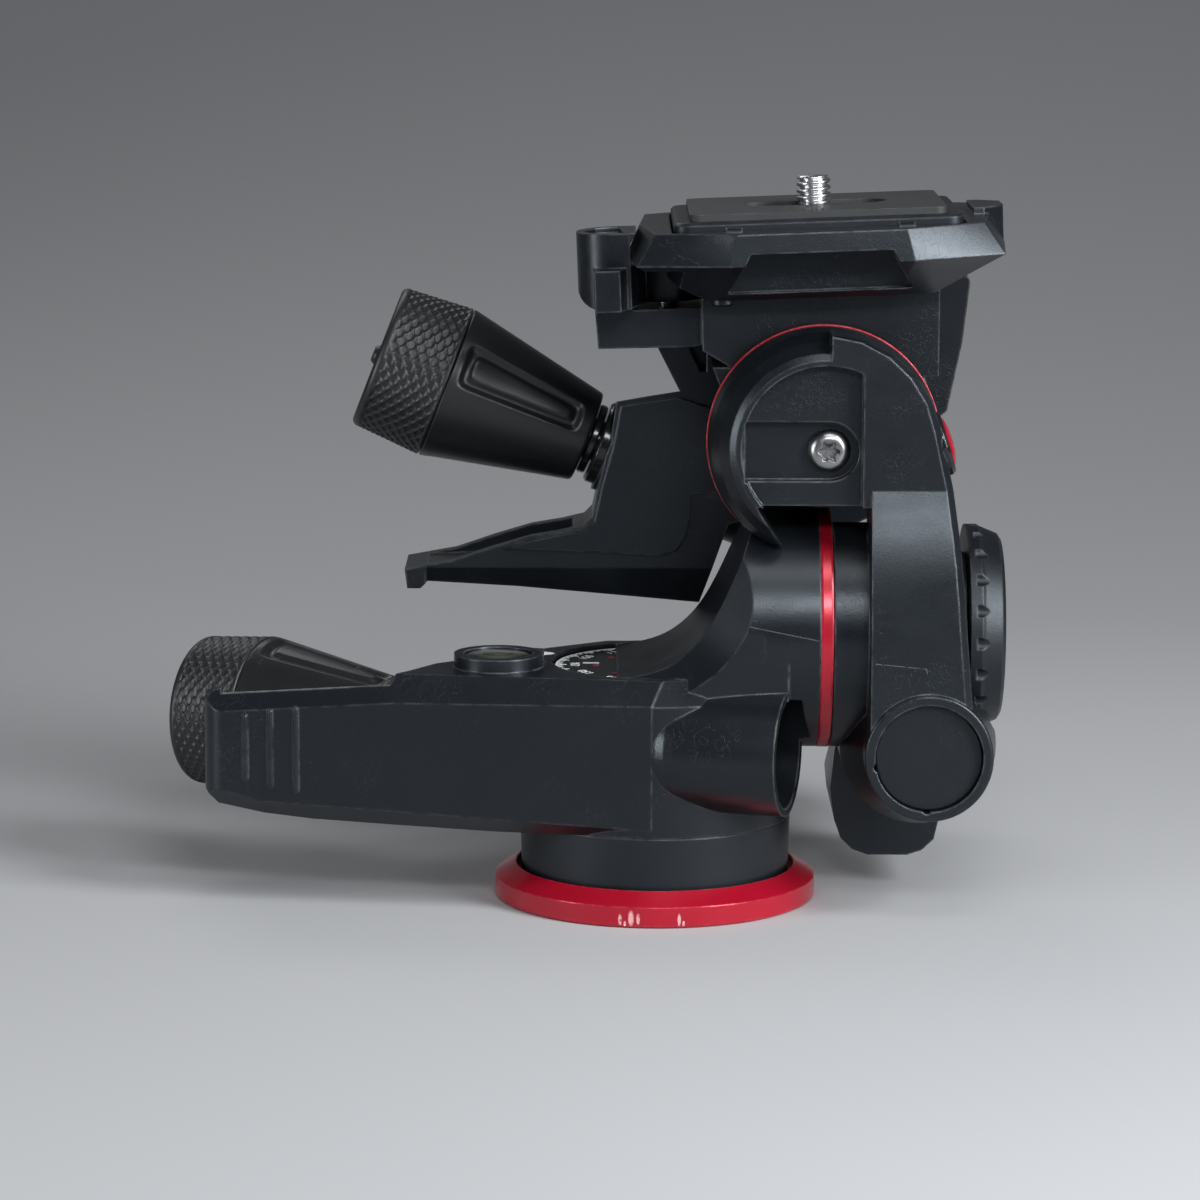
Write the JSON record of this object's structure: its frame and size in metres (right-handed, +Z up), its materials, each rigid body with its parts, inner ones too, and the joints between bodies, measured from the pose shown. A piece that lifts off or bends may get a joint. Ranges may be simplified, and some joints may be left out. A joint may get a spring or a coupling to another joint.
{
  "type": "three way pan tilt tripod head",
  "caption": "Compact three way pan tilt tripod head with retractable locking handles, side friction knobs and a quick release camera plate.",
  "frame": {"origin": "pan axis at the underside of the base, where the tripod's disc meets it", "axes": "+Z up along the pan axis, +X towards the arm that carries the tilting parts, +Y away from the front face of that arm"},
  "size_m": [0.1558, 0.0979, 0.1348],
  "materials": {
    "black_shell": "fine grained black technopolymer",
    "black_gloss": "smooth black plastic",
    "grip_rubber": "knurled black grip",
    "red_ring": "red anodised satin",
    "red_gloss": "glossy red",
    "black_metal": "black coated metal",
    "steel": "bright steel",
    "bronze": "bearing bronze",
    "nylon": "white nylon",
    "clear": "clear level vial",
    "dial_black": "black dial with printed scale",
    "pad_rubber": "textured black pad"
  },
  "bodies": {
    "base": {"base_ring": "red_ring", "base_core": "black_metal", "thread_insert": "steel", "pan_spindle": "black_metal", "pan_dial": "dial_black", "pan_friction_washer": "nylon"},
    "pan_body": {"pan_housing": "black_shell", "pan_skirt": "black_shell", "pan_bushing": "bronze", "pan_cotter": "steel", "pan_seat_washer": "black_gloss", "pan_index": "black_gloss", "pan_bubble": "clear", "lateral_ring": "red_ring", "lateral_spindle": "black_metal"},
    "lateral_body": {"c_arm": "black_shell", "c_arm_cap": "black_shell", "badge_bezel": "black_gloss", "badge": "red_gloss", "lateral_bushing": "bronze", "lateral_cotter": "steel", "lateral_seat_washer": "black_gloss", "tilt_ring": "red_ring", "tilt_spindle": "black_metal", "tilt_screw": "steel"},
    "tilt_body": {"tilt_housing": "black_shell", "tilt_bushing": "bronze", "tilt_cotter": "steel", "tilt_seat_washer": "black_gloss", "clamp_body": "black_shell", "lever_pin": "steel"},
    "pan_lock": {"pan_bolt": "black_metal"},
    "pan_handle": {"pan_sleeve": "black_gloss"},
    "pan_cap": {"pan_grip": "grip_rubber"},
    "lateral_lock": {"lateral_bolt": "black_metal"},
    "lateral_handle": {"lateral_sleeve": "black_gloss"},
    "lateral_cap": {"lateral_grip": "grip_rubber"},
    "tilt_lock": {"tilt_bolt": "black_metal"},
    "tilt_handle": {"tilt_sleeve": "black_gloss"},
    "tilt_cap": {"tilt_grip": "grip_rubber"},
    "lateral_friction": {"lateral_knob": "black_shell"},
    "tilt_friction": {"tilt_knob": "black_shell"},
    "lever": {"release_lever": "black_shell"},
    "button": {"safety_button": "black_metal"},
    "plate": {"plate_body": "black_metal", "plate_pad": "pad_rubber"},
    "screw": {"camera_screw": "steel"}
  },
  "joints": [
    {"name": "pan", "type": "hinge", "parent": "base", "child": "pan_body", "pos_m": [0, 0, 0], "axis": [0, 0, 1], "continuous": true},
    {"name": "side_tilt", "type": "hinge", "parent": "pan_body", "child": "lateral_body", "pos_m": [0, 0, 0.051], "axis": [1, 0, 0], "range_deg": [-20, 60]},
    {"name": "front_tilt", "type": "hinge", "parent": "lateral_body", "child": "tilt_body", "pos_m": [0.0304, 0, 0.0868], "axis": [0, 1, 0], "range_deg": [-16, 78]},
    {"name": "pan_lock_turn", "type": "hinge", "parent": "pan_body", "child": "pan_lock", "pos_m": [-0.0431, -0.0001, 0.0308], "axis": [-0.9063, 0.4226, 0], "range_deg": [0, 60]},
    {"name": "pan_handle_pull", "type": "slide", "parent": "pan_lock", "child": "pan_handle", "axis": [-0.9063, 0.4226, 0], "range_m": [0, 0.024]},
    {"name": "pan_cap_twist", "type": "hinge", "parent": "pan_handle", "child": "pan_cap", "pos_m": [-0.0431, -0.0001, 0.0308], "axis": [-0.9063, 0.4226, 0], "range_deg": [0, 45]},
    {"name": "lateral_lock_turn", "type": "hinge", "parent": "lateral_body", "child": "lateral_lock", "pos_m": [0.046, 0.017, 0.031], "axis": [0, 1, 0], "range_deg": [0, 60]},
    {"name": "lateral_handle_pull", "type": "slide", "parent": "lateral_lock", "child": "lateral_handle", "axis": [0, 1, 0], "range_m": [0, 0.024]},
    {"name": "lateral_cap_twist", "type": "hinge", "parent": "lateral_handle", "child": "lateral_cap", "pos_m": [0.046, 0.017, 0.031], "axis": [0, 1, 0], "range_deg": [0, 45]},
    {"name": "tilt_lock_turn", "type": "hinge", "parent": "tilt_body", "child": "tilt_lock", "pos_m": [-0.0091, 0.0347, 0.0801], "axis": [-0.9318, 0, 0.3629], "range_deg": [0, 60]},
    {"name": "tilt_handle_pull", "type": "slide", "parent": "tilt_lock", "child": "tilt_handle", "axis": [-0.9318, 0, 0.3629], "range_m": [0, 0.024]},
    {"name": "tilt_cap_twist", "type": "hinge", "parent": "tilt_handle", "child": "tilt_cap", "pos_m": [-0.0091, 0.0347, 0.0801], "axis": [-0.9318, 0, 0.3629], "range_deg": [0, 45]},
    {"name": "side_friction", "type": "hinge", "parent": "lateral_body", "child": "lateral_friction", "pos_m": [0.0573, 0, 0.051], "axis": [1, 0, 0], "range_deg": [-150, 150]},
    {"name": "front_friction", "type": "hinge", "parent": "tilt_body", "child": "tilt_friction", "pos_m": [0.0304, 0.0439, 0.0868], "axis": [0, 1, 0], "range_deg": [-150, 150]},
    {"name": "lever_swing", "type": "hinge", "parent": "tilt_body", "child": "lever", "pos_m": [0.00176, 0.011, 0.11467], "axis": [0.0401, 0, -0.9992], "range_deg": [0, 60]},
    {"name": "button_press", "type": "slide", "parent": "tilt_body", "child": "button", "axis": [-0.0401, 0, 0.9992], "range_m": [0, 0.002], "stiffness_N_per_m": 200, "springref_m": -0.001},
    {"name": "plate_lift", "type": "slide", "parent": "tilt_body", "child": "plate", "axis": [-0.0401, 0, 0.9992], "range_m": [0, 0.025]},
    {"name": "screw_turn", "type": "hinge", "parent": "plate", "child": "screw", "pos_m": [0.02871, 0.003, 0.12877], "axis": [-0.0401, 0, 0.9992], "continuous": true}
  ]
}
